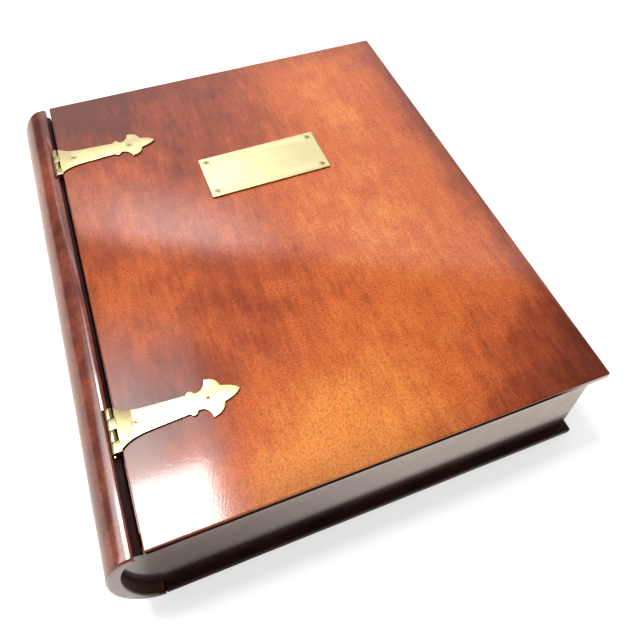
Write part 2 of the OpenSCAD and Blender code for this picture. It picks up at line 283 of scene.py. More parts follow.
def spine_skin(name):
    """Leather over the spine: its section's closed line, carried along Y with a slight sag. Near each end
    the outer line is set in by a quarter circle, which rounds the end's edge, and the end face is a strip of
    quads between outer and inner line. Away from the ends the inner line lies inside the shell.
    """
    end_round = 1.1 * MM
    rim = 0.8 * MM
    in_shell = 0.35 * MM
    half = spine_high[1]
    quarter = np.radians(np.linspace(0, 90, 8))
    ends = [(half - end_round + end_round * math.sin(a), end_round * (1 - math.cos(a))) for a in quarter]
    stations = [(-y, inset) for y, inset in ends[::-1]]
    stations += [(y, 0.0) for y in np.linspace(-half + end_round, half - end_round, 130)[1:-1]]
    stations += ends
    rows = []
    for y, inset in stations:
        outer = spine_outline(inset)
        inner = hollow_outline(in_shell if abs(y) < half - rim else inset * 0.8, len(outer))[::-1]
        if inset == 0:
            sag = 0.04 * MM * (math.sin(y * 71) + 0.7 * math.sin(y * 173 + 1))
            outer[:, 0] += sag * np.sin(np.linspace(0, np.pi, len(outer)))
        loop = np.concatenate([outer, inner])
        rows.append(np.column_stack([loop[:, 0], np.full(len(loop), y), loop[:, 1]]))
    grid = np.stack(rows)
    count = grid.shape[1]
    faces = ring_faces(len(rows), count)
    for row in (0, len(rows) - 1):
        first = row * count
        last = first + count - 1
        faces += [(first + i, first + i + 1, last - i - 1, last - i) for i in range(count // 2 - 1)]
    return make_object(name, grid.reshape(-1, 3), faces, crease_deg=50)


def inward(line, depth):
    """A closed line set in by depth along the mean normal of its two edges at each point (line runs
    anticlockwise).
    """
    step = np.roll(line, -1, axis=0) - line
    step /= np.linalg.norm(step, axis=1, keepdims=True) + 1e-12
    normal = np.column_stack([-step[:, 1], step[:, 0]])
    mean = normal + np.roll(normal, 1, axis=0)
    mean /= np.maximum(np.linalg.norm(mean, axis=1, keepdims=True), 0.5)
    return line + mean * depth


def anticlockwise(line):
    """The same closed line, turned round if it runs clockwise."""
    x, y = line[:, 0], line[:, 1]
    area = np.sum(x * np.roll(y, -1) - y * np.roll(x, -1))
    return line if area > 0 else line[::-1]


def bend(p, q, r, steps=14):
    """Points on a quadratic curve from p to r that is pulled towards q."""
    t = np.linspace(0, 1, steps)[:, None]
    return np.array(p) * (1 - t) ** 2 + np.array(q) * 2 * t * (1 - t) + np.array(r) * t ** 2


def circle_arc(u, v, radius, start_deg, end_deg, steps):
    """Points on a circle round the centre u, v, from one angle to another."""
    turn = np.radians(np.linspace(start_deg, end_deg, steps))
    return np.column_stack([u + radius * np.cos(turn), v + radius * np.sin(turn)])


def strap_line():
    """The strap's outline from the lid's edge to its tip: a splayed root, a collar and a pointed three-lobed
    end. One half is drawn in mm and mirrored.
    """
    collar, lobe = STRAP_L - 24.6, STRAP_L - 16.2
    half = np.concatenate([
        bend((0, 12.2), (4.5, 7.4), (14, 6.7)),
        circle_arc(collar, 5, 1.95, 170, 10, 12),
        bend((lobe - 5.8, 4.9), (lobe - 1.2, 4.6), (lobe, 11)),
        bend((lobe, 11), (lobe + 6.2, 10.4), (lobe + 7.2, 4.9))[1:],
        bend((lobe + 7.3, 4.8), (STRAP_L - 2.5, 3.4), (STRAP_L, 0))])
    back = half[:-1][::-1] * [1, -1]
    return anticlockwise(np.concatenate([half, back]) * MM)


class Parts:
    """Points and faces of several closed surfaces, gathered into one piece."""

    def __init__(self):
        self.points, self.faces, self.count = [], [], 0

    def add(self, points, faces):
        self.points.append(np.asarray(points, float))
        self.faces += [tuple(int(i) + self.count for i in face) for face in faces]
        self.count += len(points)

    def build(self, name, crease_deg=35):
        return make_object(name, np.concatenate(self.points), self.faces, crease_deg)


def pierced_plate(parts, line, holes, z0, z1, edge):
    """A flat plate with countersunk holes: its outline goes up from z0, is set in by a quarter circle at the
    top edge, and top and bottom are filled between the outline and the holes. A hole is a steep rim, then a
    cone to its shank.
    """
    quarter = np.radians(np.linspace(0, 90, 5))
    levels = [(0.0, z0)] + [(edge * (1 - math.cos(a)), z1 - edge * (1 - math.sin(a))) for a in quarter]
    rings = [np.column_stack([inward(line, inset), np.full(len(line), z)]) for inset, z in levels]
    parts.add(np.concatenate(rings), ring_faces(len(rings), len(line)))
    turn = np.linspace(0, 2 * np.pi, HOLE_POINTS, endpoint=False)
    circle = np.column_stack([np.cos(turn), np.sin(turn)])
    depths = [(r * MM, depth * MM) for r, depth in HOLE]
    depths.append((depths[-1][0], z1 - z0))
    for hole in holes:
        walls = [np.column_stack([hole + circle * r, np.full(HOLE_POINTS, z1 - depth)])
                 for r, depth in depths]
        parts.add(np.concatenate(walls), ring_faces(len(walls), HOLE_POINTS))
    for ring, r, z in ((rings[-1], depths[0][0], z1), (rings[0], depths[-1][0], z0)):
        loops = [[Vector(p) for p in ring]]
        loops += [[Vector((*(hole + q * r), z)) for q in circle] for hole in holes]
        parts.add(np.array([tuple(p) for loop in loops for p in loop]), tessellate_polygon(loops))


def carried_along_y(parts, line, y0, y1, edge):
    """A closed line in X and Z carried from y0 to y1, set in by a quarter circle at both ends, with flat
    ends.
    """
    line = anticlockwise(line)
    quarter = np.radians(np.linspace(0, 90, 4))
    stations = [(y0 + edge * (1 - math.sin(a)), edge * (1 - math.cos(a))) for a in quarter[::-1]]
    stations += [(y1 - edge * (1 - math.sin(a)), edge * (1 - math.cos(a))) for a in quarter]
    rings = []
    for y, inset in stations:
        ring = inward(line, inset)
        rings.append(np.column_stack([ring[:, 0], np.full(len(ring), y), ring[:, 1]]))
    last = (len(rings) - 1) * len(line)
    faces = ring_faces(len(rings), len(line))
    faces += [tuple(range(len(line))), tuple(range(last, last + len(line)))]
    parts.add(np.concatenate(rings), faces)


def countersunk_screw(parts, place, spin):
    """A turned screw: rings round its upright axis from a slightly domed head down the cone and the shank to
    its end. The head's rings sink by a cross: full depth where either bar of the cross covers the point,
    rising over a narrow edge. It is drawn in mm and turned by spin degrees.
    """
    rings = [(r, HEAD_DOME * (1 - (r / 1.9) ** 2)) for r in np.linspace(0.0, HEAD_R, HEAD_RINGS)]
    rings += [(1.75, -0.02), (1.78, -0.07), (1.78, -0.14), (SHANK_R, -0.95), (SHANK_R, -SCREW_L + 0.8),
              (0.15, -SCREW_L), (0.0, -SCREW_L)]
    turn = np.linspace(0, 2 * np.pi, SCREW_POINTS, endpoint=False)
    rows = []
    for k, (r, height) in enumerate(rings):
        x, y = r * np.cos(turn), r * np.sin(turn)
        z = np.full(SCREW_POINTS, height)
        if k < HEAD_RINGS:
            bars = [np.clip((CROSS_HALF_WIDTH - np.abs(a)) / 0.10, 0, 1)
                    * np.clip((CROSS_HALF_LENGTH - np.abs(b)) / 0.12, 0, 1) for a, b in ((x, y), (y, x))]
            z = z - CROSS_DEPTH * np.maximum(*bars)
        rows.append(np.column_stack([x, y, z]))
    points = np.concatenate(rows) * MM
    points = points @ np.array(Matrix.Rotation(math.radians(spin), 3, "Z")).T + np.array(place)
    parts.add(points, ring_faces(len(rings), SCREW_POINTS))


# Material helpers

def linear(*colour):
    """Display values from 0 to 255 as linear ones."""
    c = np.array(colour) / 255
    return tuple(np.where(c <= 0.04045, c / 12.92, ((c + 0.055) / 1.055) ** 2.4).tolist())


class Nodes:
    """A node tree with short calls to add and join nodes."""

    def __init__(self, tree):
        self.tree = tree

    def feed(self, socket, value):
        """Joins a socket to another one, or gives it a value."""
        if isinstance(value, bpy.types.NodeSocket):
            self.tree.links.new(value, socket)
        else:
            socket.default_value = value

    def node(self, kind, values=None, **settings):
        made = self.tree.nodes.new(kind)
        for key, value in settings.items():
            setattr(made, key, value)
        for key, value in (values or {}).items():
            self.feed(made.inputs[key], value)
        return made

    def group(self, tree, **values):
        return self.node("ShaderNodeGroup", values, node_tree=tree).outputs

    def split(self, vector):
        return self.node("ShaderNodeSeparateXYZ", {"Vector": vector}).outputs

    def math(self, operation, *values):
        return self.node("ShaderNodeMath", dict(enumerate(values)), operation=operation).outputs[0]

    def weighted(self, *pairs):
        """The sum of values, each times its weight."""
        total = None
        for value, weight in pairs:
            term = self.math("MULTIPLY", value, weight)
            total = term if total is None else self.math("ADD", total, term)
        return total

    def mix(self, share, one, two):
        made = self.node("ShaderNodeMix", {0: share}, data_type="RGBA", blend_type="MIX", clamp_factor=True)
        for socket, colour in ((made.inputs[6], one), (made.inputs[7], two)):
            self.feed(socket, colour if isinstance(colour, bpy.types.NodeSocket) else (*colour, 1.0))
        return made.outputs[2]

    def ramp(self, value, low, high, to_low=0.0, to_high=1.0, smooth=True):
        values = {"Value": value, "From Min": low, "From Max": high, "To Min": to_low, "To Max": to_high}
        kind = "SMOOTHSTEP" if smooth else "LINEAR"
        return self.node("ShaderNodeMapRange", values, interpolation_type=kind).outputs[0]

    def noise(self, vector, scale, detail=2.0, rough=0.5, stretch=(1, 1, 1), shift=(0, 0, 0)):
        mapping = self.node("ShaderNodeMapping", {"Vector": vector, "Scale": stretch, "Location": shift})
        values = {"Vector": mapping.outputs[0], "Scale": scale, "Detail": detail, "Roughness": rough}
        return self.node("ShaderNodeTexNoise", values).outputs["Fac"]

    def bump(self, height, strength, distance):
        values = {"Height": height, "Strength": strength, "Distance": distance}
        return self.node("ShaderNodeBump", values).outputs[0]


class Material(Nodes):
    """A new material's nodes. They end in one Principled BSDF."""

    def __init__(self, name):
        self.data = bpy.data.materials.new(name)
        self.data.use_nodes = True
        super().__init__(self.data.node_tree)
        self.tree.nodes.clear()

    def place(self):
        return self.node("ShaderNodeTexCoord").outputs["Object"]

    def finish(self, values):
        shader = self.node("ShaderNodeBsdfPrincipled", values)
        self.node("ShaderNodeOutputMaterial", {"Surface": shader.outputs[0]})
        return self.data


def new_group(name, inputs, outputs):
    """A shader node group: its nodes, the sockets that give its inputs and the sockets that take its
    outputs. An input without a value is a vector, and everything else is a float.
    """
    tree = bpy.data.node_groups.new(name, "ShaderNodeTree")
    for label, value in inputs.items():
        kind = "NodeSocketVector" if value is None else "NodeSocketFloat"
        socket = tree.interface.new_socket(label, in_out="INPUT", socket_type=kind)
        if value is not None:
            socket.default_value = value
    for label in outputs:
        tree.interface.new_socket(label, in_out="OUTPUT", socket_type="NodeSocketFloat")
    nodes = Nodes(tree)
    return nodes, nodes.node("NodeGroupInput").outputs, nodes.node("NodeGroupOutput").inputs


GRAIN_SIZE = 900.0
GRAIN_BUMP = (0.20, 0.00012)  # strength and distance


def leather_grain_group():
    """Pebbled leather: cells about a millimetre wide with creases between them, and finer pores."""
    w, given, result = new_group("leather_grain", {"Place": None, "Size": GRAIN_SIZE},
                                 ("Height", "Crease", "Fleck"))
    warp = w.node("ShaderNodeTexNoise", {"Vector": given["Place"], "Scale": 300.0, "Detail": 2.0})
    shift = (0.0012, 0.0012, 0.0012)
    moved = w.node("ShaderNodeVectorMath", {0: warp.outputs["Color"], 1: shift, 2: given["Place"]},
                   operation="MULTIPLY_ADD")
    cell = w.node("ShaderNodeTexVoronoi",
                  {"Vector": moved.outputs[0], "Scale": given["Size"], "Smoothness": 0.6},
                  feature="SMOOTH_F1").outputs["Distance"]
    fine = w.node("ShaderNodeTexNoise", {"Vector": given["Place"], "Scale": 1500.0, "Detail": 3.0,
                                         "Roughness": 0.6}).outputs["Fac"]
    w.feed(result["Height"], w.weighted((cell, -0.8), (fine, 0.35)))
    w.feed(result["Crease"], w.ramp(cell, 0.35, 0.8))
    w.feed(result["Fleck"], w.ramp(fine, 0.50, 0.66))
    return w.tree


def edge_band_group():
    """Nearness to the sides of a box in plan: 1 at the side, 0 from the given width inwards, frayed by
    noise.
    """
    w, given, result = new_group("edge_band", {"Place": None, "Low": None, "High": None, "Width": 0.01,
                                               "Fray": 0.004}, ("Band",))
    place, low, high = (w.split(given[label]) for label in ("Place", "Low", "High"))
    near = [w.math("SUBTRACT", place[a], low[a]) for a in (0, 1)]
    near += [w.math("SUBTRACT", high[a], place[a]) for a in (0, 1)]
    least = w.math("MINIMUM", w.math("MINIMUM", near[0], near[1]), w.math("MINIMUM", near[2], near[3]))
    fray = w.node("ShaderNodeTexNoise", {"Vector": given["Place"], "Scale": 45.0, "Detail": 4.0,
                                         "Roughness": 0.6}).outputs["Fac"]
    off_mean = w.math("SUBTRACT", fray, 0.5)
    least = w.math("ADD", least, w.math("MULTIPLY", off_mean, given["Fray"]))
    w.feed(result["Band"], w.ramp(least, 0.0, given["Width"], 1.0, 0.0))
    return w.tree


def soft_patch_group():
    """A soft round patch: 1 at its centre, 0 outside its reach, which may differ along X and Y."""
    w, given, result = new_group("soft_patch", {"Place": None, "Centre": None, "Reach": None}, ("Patch",))
    gap = w.node("ShaderNodeVectorMath", {0: given["Place"], 1: given["Centre"]}, operation="SUBTRACT")
    share = w.node("ShaderNodeVectorMath", {0: gap.outputs[0], 1: given["Reach"]}, operation="DIVIDE")
    far = w.node("ShaderNodeVectorMath", {0: share.outputs[0]}, operation="LENGTH")
    w.feed(result["Patch"], w.ramp(far.outputs["Value"], 0.0, 1.0, 1.0, 0.0))
    return w.tree


GRAIN = leather_grain_group()
BAND = edge_band_group()
PATCH = soft_patch_group()

# tones of the stained leather, from the burnished edges, also the painted shade of the lid's sides, to the rubbed
# amber
TONE_BLACK = linear(38, 12, 8)
TONE_DARK = linear(96, 36, 20)
TONE_RED = linear(156, 65, 32)
TONE_TERRA = linear(206, 95, 41)
TONE_AMBER = linear(238, 142, 62)
TONE_LIGHT = linear(252, 184, 110)

# the dark brass colour painted as shade: on the straps' and plate's sides, the barrels, the straps' roots and in
# the screws' recesses
BRASS_PAINTED_SHADE = linear(66, 44, 18)

# where the lid's stain is warmer or colder: centre and reach in X and Y, and by how much
STAIN_PATCHES = (
    ((0.070, -0.010), (0.110, 0.150), 0.24),
    ((-0.020, -0.145), (0.110, 0.080), 0.50),
    ((0.085, 0.120), (0.070, 0.130), 0.24),
    ((0.140, -0.165), (0.100, 0.100), -0.42),
    ((-0.115, 0.180), (0.180, 0.140), -0.55),
    ((-0.010, 0.095), (0.095, 0.080), -0.22),
    ((-0.030, -0.010), (0.070, 0.070), -0.08),
    ((-0.090, -0.108), (0.080, 0.070), -0.50),
    ((0.140, 0.020), (0.036, 0.260), -0.32),
)


def lid_leather_material():
    """Varnished leather, hand-stained: red-brown clouds, amber zones, a dark far corner and streaks along
    the spine. The cover's sides are burnished and painted nearly black as painted shade, and have little
    varnish, but for those near the right corner.
    """
    m = Material("stained_leather")
    place = m.place()
    cloud = m.noise(place, 14.0, 5.0, 0.6)
    small = m.noise(place, 60.0, 5.0, 0.65, shift=(3.1, 0.7, 0))
    streak = m.noise(place, 40.0, 4.0, 0.6, stretch=(3.2, 0.5, 1))
    hair = m.noise(place, 420.0, 3.0, 0.6, stretch=(1, 0.16, 1))
    warmth = m.weighted((cloud, 0.55), (small, 0.40), (streak, 0.35), (hair, 0.32))
    warmth = m.math("ADD", warmth, -0.25)
    for centre, radii, gain in STAIN_PATCHES:
        patch = m.group(PATCH, Place=place, Centre=(*centre, 0.07), Reach=(*radii, 1.0))[0]
        warmth = m.math("ADD", warmth, m.math("MULTIPLY", patch, gain))
    colour = m.mix(m.ramp(warmth, 0.10, 0.45), TONE_DARK, TONE_RED)
    colour = m.mix(m.ramp(warmth, 0.38, 0.72), colour, TONE_TERRA)
    colour = m.mix(m.ramp(warmth, 0.66, 1.05), colour, TONE_AMBER)
    grain = m.group(GRAIN, Place=place, Size=GRAIN_SIZE)
    colour = m.mix(m.math("MULTIPLY", grain["Crease"], 0.34), colour, TONE_DARK)
    rubbed = m.math("MULTIPLY", grain["Fleck"], m.ramp(warmth, 0.30, 0.75, 0.05, 0.34))
    colour = m.mix(rubbed, colour, TONE_LIGHT)
    for width, fray, share in ((0.022, 0.020, 0.30), (0.0012, 0.0012, 0.35)):
        band = m.group(BAND, Place=place, Low=tuple(lid_low), High=tuple(lid_high), Width=width, Fray=fray)[0]
        colour = m.mix(m.math("MULTIPLY", band, share), colour, TONE_DARK)
    across, _, height = m.split(place)
    # painted shade: below the top's rounding the cover's sides get the near-black tone, partly a burnished edge,
    # partly the shade they stand in
    burnished = m.ramp(height, LID_TOP - 0.8 * MM, LID_TOP - 0.35 * MM, 1.0, 0.0)
    colour = m.mix(burnished, colour, TONE_BLACK)
    wave = m.node("ShaderNodeBump", {
        "Height": m.noise(place, 70.0, 2.0), "Strength": 0.15, "Distance": 0.0006,
        "Normal": m.bump(grain["Height"], *GRAIN_BUMP)}).outputs[0]
    side_varnish = m.ramp(across, LID_RIGHT - 34 * MM, LID_RIGHT - 8 * MM, 0.02, 1.0)
    return m.finish({
        "Base Color": colour, "Roughness": m.ramp(small, 0.3, 0.7, 0.34, 0.46), "Normal": wave,
        "Specular IOR Level": m.ramp(burnished, 0.0, 1.0, 0.15, 0.0, smooth=False),
        "Coat Weight": m.ramp(burnished, 0.0, 1.0, 1.0, side_varnish, smooth=False), "Coat Roughness": 0.08,
        "Coat IOR": 1.5, "Coat Normal": m.bump(m.noise(place, 900.0, 1.0), 1.0, 0.000010)})


def dark_leather_material(name, dark, light, low, high, worn_below=-1.0):
    """The darker leather of the spine, walls and back cover: brown clouds, a burnished rim, the same grain.
    Below the height worn_below its varnish is thin, as on the back cover's handled edges.
    """
    m = Material(name)
    place = m.place()
    cloud = m.noise(place, 22.0, 5.0, 0.6, stretch=(1, 0.6, 1))
    small = m.noise(place, 90.0, 4.0, 0.6)
    colour = m.mix(m.ramp(m.weighted((cloud, 0.7), (small, 0.4)), 0.38, 0.78), dark, light)
    grain = m.group(GRAIN, Place=place, Size=GRAIN_SIZE)
    colour = m.mix(m.math("MULTIPLY", grain["Crease"], 0.35), colour, TONE_BLACK)
    rim = m.group(BAND, Place=place, Low=low, High=high, Width=0.003, Fray=0.002)[0]
    colour = m.mix(m.math("MULTIPLY", rim, 0.7), colour, TONE_BLACK)
    varnish = m.ramp(m.split(place)[2], worn_below - 0.0006, worn_below, 0.12, 1.0)
    return m.finish({
        "Base Color": colour, "Roughness": m.ramp(small, 0.3, 0.7, 0.32, 0.44),
        "Normal": m.bump(grain["Height"], *GRAIN_BUMP), "Specular IOR Level": 0.15,
        "Coat Weight": varnish, "Coat Roughness": 0.10, "Coat IOR": 1.5})


def brass_material(name, light, shade, rough_low, rough_high, brush, shade_painted_below, barrel=0.0):
    """Brass with fine brush marks one way and faint tarnish clouds. Below a given height it is painted nearly
    black where it stands on the cover, a painted shade on the straps' and plate's sides and in the screws'
    recesses. Beside the cover, on the barrels, it is painted darker by barrel, and so are the straps' roots,
    the near one most, all as painted shade.
    """
    m = Material(name)
    place = m.place()
    across, along, height = m.split(place)
    marks = m.noise(place, 2400.0, 3.0, 0.6, stretch=brush)
    cloud = m.noise(place, 120.0, 4.0, 0.6)
    colour = m.mix(m.ramp(cloud, 0.40, 0.80, 0.0, 0.45), light, shade)
    colour = m.mix(m.math("MULTIPLY", m.ramp(marks, 0.50, 0.75), 0.30), colour, shade)
    on_cover = m.ramp(across, LID_LEFT - 0.2 * MM, LID_LEFT + 0.4 * MM)
    # painted shade: the sides below the given height, the barrels beside the cover and the straps' roots are
    # darkened towards the dark brass colour
    side = m.ramp(height, shade_painted_below - 0.10 * MM, shade_painted_below + 0.05 * MM, 0.94, 0.0)
    side = m.math("MULTIPLY", side, on_cover)
    beside = m.math("MULTIPLY", m.math("SUBTRACT", 1.0, on_cover), barrel)
    root = m.math("MULTIPLY", m.ramp(across, LID_LEFT + 7.6 * MM, LID_LEFT + 8.4 * MM, 1.0, 0.0),
                  m.ramp(across, LID_LEFT - 2.6 * MM, LID_LEFT - 2.2 * MM))
    root = m.math("MULTIPLY", root, m.ramp(along, -0.010, 0.0, 0.72, 0.14))
    painted_shade = m.math("MAXIMUM", m.math("MAXIMUM", side, beside), root)
    rough = m.ramp(m.weighted((cloud, 0.6), (marks, 0.4)), 0.3, 0.7, rough_low, rough_high)
    return m.finish({"Base Color": m.mix(painted_shade, colour, BRASS_PAINTED_SHADE), "Metallic": 1.0, "Roughness": rough,
                     "Normal": m.bump(marks, 0.05, 0.00003)})


def board_material():
    """Dark-stained fibreboard with fine fibres."""
    m = Material("stained_fibreboard")
    place = m.place()
    fibres = m.noise(place, 500.0, 4.0, 0.7, stretch=(1, 0.4, 1))
    cloud = m.noise(place, 40.0, 3.0, 0.5)
    colour = m.mix(m.ramp(fibres, 0.3, 0.7), linear(58, 34, 24), linear(84, 54, 38))
    colour = m.mix(m.math("MULTIPLY", cloud, 0.4), colour, linear(44, 24, 18))
    return m.finish({"Base Color": colour, "Roughness": 0.8, "Normal": m.bump(fibres, 0.3, 0.0001)})


def felt_material():
    """Dark red felt: tangled short fibres, soft light and dark rubs."""
    m = Material("red_felt")
    place = m.place()
    fibre = m.noise(place, 1600.0, 5.0, 0.75)
    rub = m.noise(place, 30.0, 3.0, 0.5)
    colour = m.mix(m.ramp(fibre, 0.3, 0.7), linear(70, 18, 20), linear(112, 34, 34))
    colour = m.mix(m.math("MULTIPLY", rub, 0.35), colour, linear(60, 16, 18))
    return m.finish({"Base Color": colour, "Roughness": 0.95, "Normal": m.bump(fibre, 0.6, 0.0003),
                     "Sheen Weight": 0.3, "Sheen Roughness": 0.4})


def put_material(item, material):
    """Gives an object one material, in all of its slots."""
    if not item.material_slots:
        item.data.materials.append(material)
    for slot in item.material_slots:
        slot.material = material


# A dark leather's burnished rim lies at the sides of the box given to it.
# A side that is moved out by a metre has none.
LEATHER = lid_leather_material()
SPINE_LEATHER = dark_leather_material(
    "spine_leather_brown", linear(90, 38, 29), linear(172, 88, 64),
    tuple(spine_low - [1, 0, 0]), tuple(spine_high + [1, 0, 0]))
BASE_LEATHER = dark_leather_material(
    "base_leather_brown", linear(36, 14, 10), linear(70, 30, 22),
    tuple(base_low), tuple(base_high), worn_below=float(base_high[2]) - 0.2 * MM)
# painted shade: the joint's leather is a near-black brown, darker than the spine's, for the shade of the groove
# beside the lid
JOINT_LEATHER_PAINTED_SHADE = dark_leather_material(
    "joint_leather_dark", linear(26, 10, 11), linear(56, 25, 26),
    tuple(spine_low - [1, 1, 0]), tuple(spine_high + [1, 1, 0]), worn_below=1.0)
WALL_LEATHER = dark_leather_material(
    "wall_leather_brown", linear(34, 15, 11), linear(62, 30, 22),
    tuple(base_low - [1, 1, 0]), tuple(base_high + [1, 1, 0]))
HINGE_BRASS = brass_material(
    "hinge_brass", linear(235, 222, 168), linear(210, 189, 122), 0.26, 0.38, (0.06, 1, 1),
    shade_painted_below=STRAP_TOP - 0.22 * MM, barrel=0.50)
PLATE_BRASS = brass_material(
    "plate_brass", linear(248, 236, 184), linear(226, 206, 138), 0.32, 0.44, (0.08, 1, 1),
    shade_painted_below=PLATE_TOP - 0.35 * MM)
SCREW_BRASS = brass_material(
    "screw_brass", linear(232, 218, 164), linear(170, 152, 100), 0.28, 0.42, (1, 1, 1),
    shade_painted_below=PLATE_TOP - 0.22 * MM)
BOARD = board_material()
FELT = felt_material()

finish_of = {
    "board": BOARD, "dark_leather": BASE_LEATHER, "lining": FELT, "wall_leather": WALL_LEATHER,
    "cover_leather": LEATHER, "hinge_brass": HINGE_BRASS, "plate_brass": PLATE_BRASS,
    "screw_brass": SCREW_BRASS,
}
for entry in frame["record"]["subparts"]:
    put_material(frame["nodes"][entry["node"]], finish_of[entry["material_slot"]])
put_material(frame["nodes"]["spine_leather"], SPINE_LEATHER)


# Pieces

lid_cover = cover_skin("lid_cover", lid_low, lid_high, edge=0.7 * MM, turn_in=14 * MM,
                       recess_up=False, seed=0.7)
put_material(lid_cover, LEATHER)
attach(lid_cover, "lid")
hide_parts("lid_leather")

spine_cover = spine_skin("spine_cover")
put_material(spine_cover, SPINE_LEATHER)
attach(spine_cover, "box")
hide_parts("spine_leather")


def add_joint_leather():
    """Leather of the joint beside the lid, left out round each hinge's barrel: a strip painted dark as painted
    shade of the groove, drawn from the spine's lip down towards the lid, and beyond the near hinge the lip's
    own leather, carried 2.1 mm further over it. The strip ends at the head wall, and behind it the joint is
    open beside the lip.
    """
    def by_lip(across, down):
        return LIP_X + across * MM, CREST - down * MM

    def by_pin(across, down):
        return axis_x + across * MM, CREST - down * MM

    root = lid_low[2] - 0.25 * MM
    strip_section = np.concatenate([
        bend(by_lip(-0.5, 0.9), by_pin(-1.2, 1.8), by_pin(0.3, 2.2)),
        bend(by_pin(0.4, 2.25), by_pin(1.2, 2.6), (axis_x + 1.5 * MM, root)),
        bend((axis_x + 0.7 * MM, root), by_pin(0.2, 3.1), by_lip(-0.5, 1.7))])
    lip_section = np.concatenate([
        bend(by_lip(-1.0, 0.05), by_lip(0.6, 0.0), by_lip(1.3, 0.25)),
        bend(by_lip(1.4, 0.3), by_lip(2.2, 0.7), by_lip(2.1, 2.4)),
        np.array([by_lip(-1.0, 1.6)])])
    before = (lid_low[1] + 0.6 * MM, hinges["near"] - HINGE_ROOM)
    between = (hinges["near"] + HINGE_ROOM, hinges["far"] - HINGE_ROOM)
    beyond = hinges["far"] + HINGE_ROOM
    strip, lip = Parts(), Parts()
    for start, end in (before, between, (beyond, reach("head_wall")[1][1])):
        carried_along_y(strip, strip_section, start, end, 0.1 * MM)
    for start, end in (between, (beyond, spine_high[1] - 0.4 * MM)):
        carried_along_y(lip, lip_section, start, end, 0.3 * MM)
    for parts, name, material in ((strip, "joint_leather", JOINT_LEATHER_PAINTED_SHADE),
                                  (lip, "lip_leather", SPINE_LEATHER)):
        piece = parts.build(name, crease_deg=60)
        put_material(piece, material)
        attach(piece, "box")


add_joint_leather()

base_cover = cover_skin("base_cover", base_low, base_high, edge=1.2 * MM, turn_in=7 * MM,
                        recess_up=True, seed=2.1)
put_material(base_cover, BASE_LEATHER)
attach(base_cover, "box")
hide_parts("base_leather")


def knuckle_span(middle, index):
    """The ends of one of four knuckles, counted from the tail, with half a gap left at each end."""
    start = middle - 2 * KNUCKLE + index * KNUCKLE
    return start + KNUCKLE_GAP / 2, start + KNUCKLE - KNUCKLE_GAP / 2


def rolled_strap_section():
    """The strap's end rolled round the pin: a circle whose top runs on into the flat strap."""
    circle = circle_arc(axis_x, axis_z, BARREL_R, 90, 90 + 310, BARREL_STEPS)
    keep = ~((circle[:, 0] > axis_x) & (circle[:, 1] > LID_TOP))
    meet_x = axis_x + math.sqrt(BARREL_R ** 2 - (LID_TOP - axis_z) ** 2)
    end_x = lid_low[0] + 0.4 * MM
    return np.concatenate([circle[keep], [[meet_x, LID_TOP], [end_x, LID_TOP], [end_x, LID_TOP + STRAP_T]]])


def rolled_leaf_section(bottom):
    """The fixed leaf's end rolled round the pin: a circle whose left side runs on down into the flat leaf."""
    circle = circle_arc(axis_x, axis_z, BARREL_R, 180, 180 - 300, BARREL_STEPS)
    right = LEAF_X + LEAF_T
    keep = ~((circle[:, 0] < right) & (circle[:, 1] < axis_z))
    meet_z = axis_z - math.sqrt(BARREL_R ** 2 - (right - axis_x) ** 2)
    return np.concatenate([circle[keep], [[right, meet_z], [right, bottom], [LEAF_X, bottom]]])


def add_hinge(which, middle):
    """One hinge: the strap with its two rolled knuckles, the hidden leaf with the other two, and the strap's
    screws.
    """
    strap = Parts()
    line = strap_line() + [lid_low[0], middle]
    spots = [np.array([lid_low[0] + x * MM, middle]) for x in STRAP_SCREWS]
    pierced_plate(strap, line, spots, LID_TOP, LID_TOP + STRAP_T, 0.35 * MM)
    for index in (0, 2):
        carried_along_y(strap, rolled_strap_section(), *knuckle_span(middle, index), KNUCKLE_ROUND)
    piece = strap.build(which + "_strap")
    put_material(piece, HINGE_BRASS)
    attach(piece, "lid")
    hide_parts(which + "_hinge_strap")

    leaf = Parts()
    leaf_low, leaf_high = reach(which + "_hinge_leaf")
    for index in (1, 3):
        section = rolled_leaf_section(leaf_low[2] + 3 * MM)
        carried_along_y(leaf, section, *knuckle_span(middle, index), KNUCKLE_ROUND)
    right, top = LEAF_X + LEAF_T, axis_z - BARREL_R - 0.5 * MM
    flat = np.array([[LEAF_X, leaf_low[2]], [right, leaf_low[2]], [right, top], [LEAF_X, top]])
    carried_along_y(leaf, flat, leaf_low[1], leaf_high[1], 0.2 * MM)
    piece = leaf.build(which + "_leaf")
    put_material(piece, HINGE_BRASS)
    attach(piece, "box")
    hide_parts(which + "_hinge_leaf")

    screws = Parts()
    for spot, x in zip(spots, STRAP_SCREWS):
        countersunk_screw(screws, (*spot, LID_TOP + STRAP_T), spin=x * 7)
    piece = screws.build(which + "_strap_screw_heads", crease_deg=30)
    put_material(piece, SCREW_BRASS)
    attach(piece, "lid")
    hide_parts(which + "_strap_screws")


for which, middle in hinges.items():
    add_hinge(which, middle)


